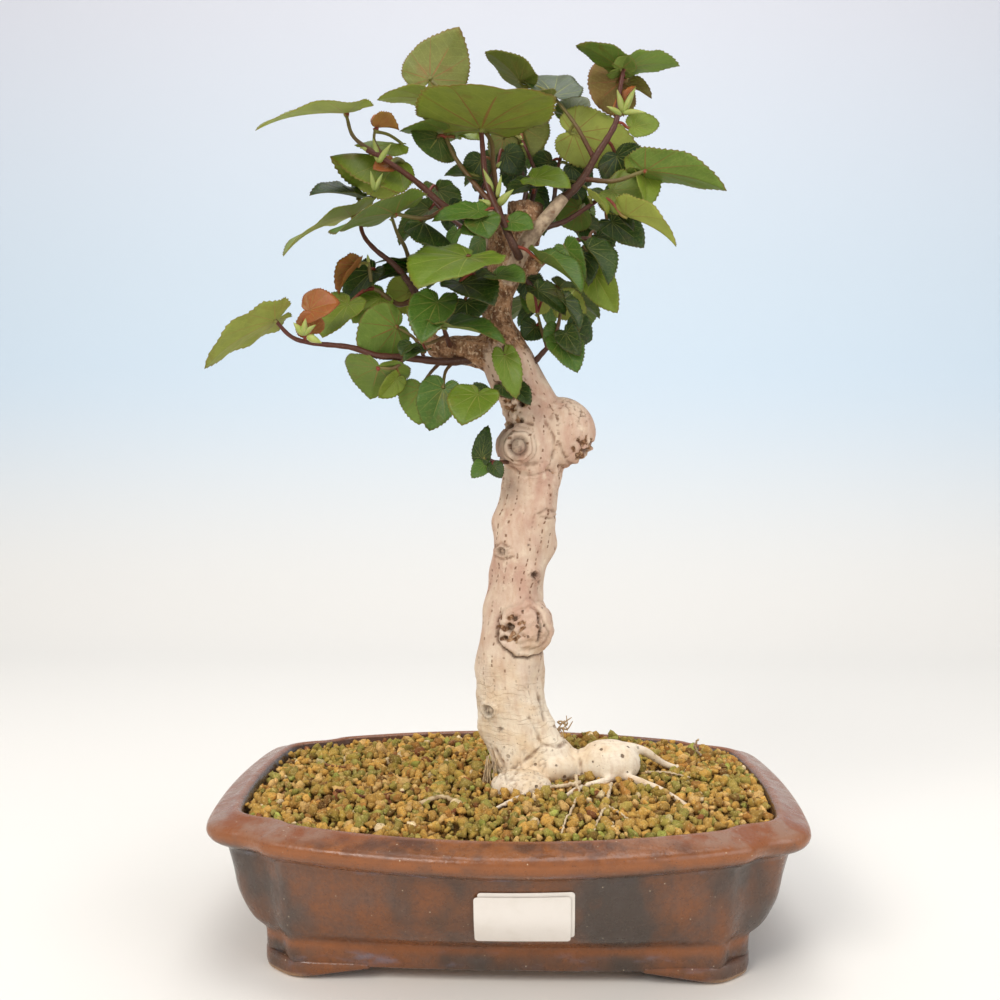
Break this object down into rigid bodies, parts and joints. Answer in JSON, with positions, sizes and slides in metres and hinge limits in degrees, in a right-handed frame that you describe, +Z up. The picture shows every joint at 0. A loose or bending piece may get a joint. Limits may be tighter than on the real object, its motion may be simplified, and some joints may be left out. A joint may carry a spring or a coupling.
{
  "type": "sea hibiscus bonsai",
  "caption": "Sea hibiscus bonsai with a pale knotty trunk, surface roots and a loose crown of heart-shaped leaves, in granular soil in a low lobed glazed pot on corner feet.",
  "frame": {"origin": "centre of the pot's footprint, on the table under its feet", "axes": "+X to the right of the pictured front, +Y to the back, +Z up along the trunk"},
  "size_m": [0.277, 0.22, 0.4416],
  "materials": {
    "glaze": "satin",
    "net": "matte",
    "label": "matte",
    "soil": "matte",
    "bark": "matte",
    "leaf_light": "satin",
    "leaf_green": "satin",
    "leaf_dark": "satin"
  },
  "bodies": {
    "root": {"pot": "glaze", "drain_net_left": "net", "drain_net_right": "net", "paper_label_lower": "label", "paper_label_upper": "label", "soil": "soil", "trunk": "bark", "shoot_left_high": "leaf_light", "shoot_top": "leaf_green", "shoot_right_high": "leaf_dark", "shoot_left_low": "leaf_green", "shoot_right": "leaf_light", "shoot_right_inner": "leaf_dark", "shoot_right_low": "leaf_dark", "shoot_front": "leaf_green", "shoot_inner_left": "leaf_dark", "shoot_inner_middle": "leaf_green", "shoot_inner_right": "leaf_dark", "shoot_left_middle": "leaf_dark", "shoot_limb": "leaf_green", "sprout_upper": "leaf_green", "sprout_burl": "leaf_dark", "sprout_neck": "leaf_green", "shoot_back_top": "leaf_dark", "shoot_back_right": "leaf_dark", "shoot_back_left": "leaf_dark", "shoot_back_low": "leaf_dark", "shoot_back_middle": "leaf_dark"}
  },
  "joints": []
}
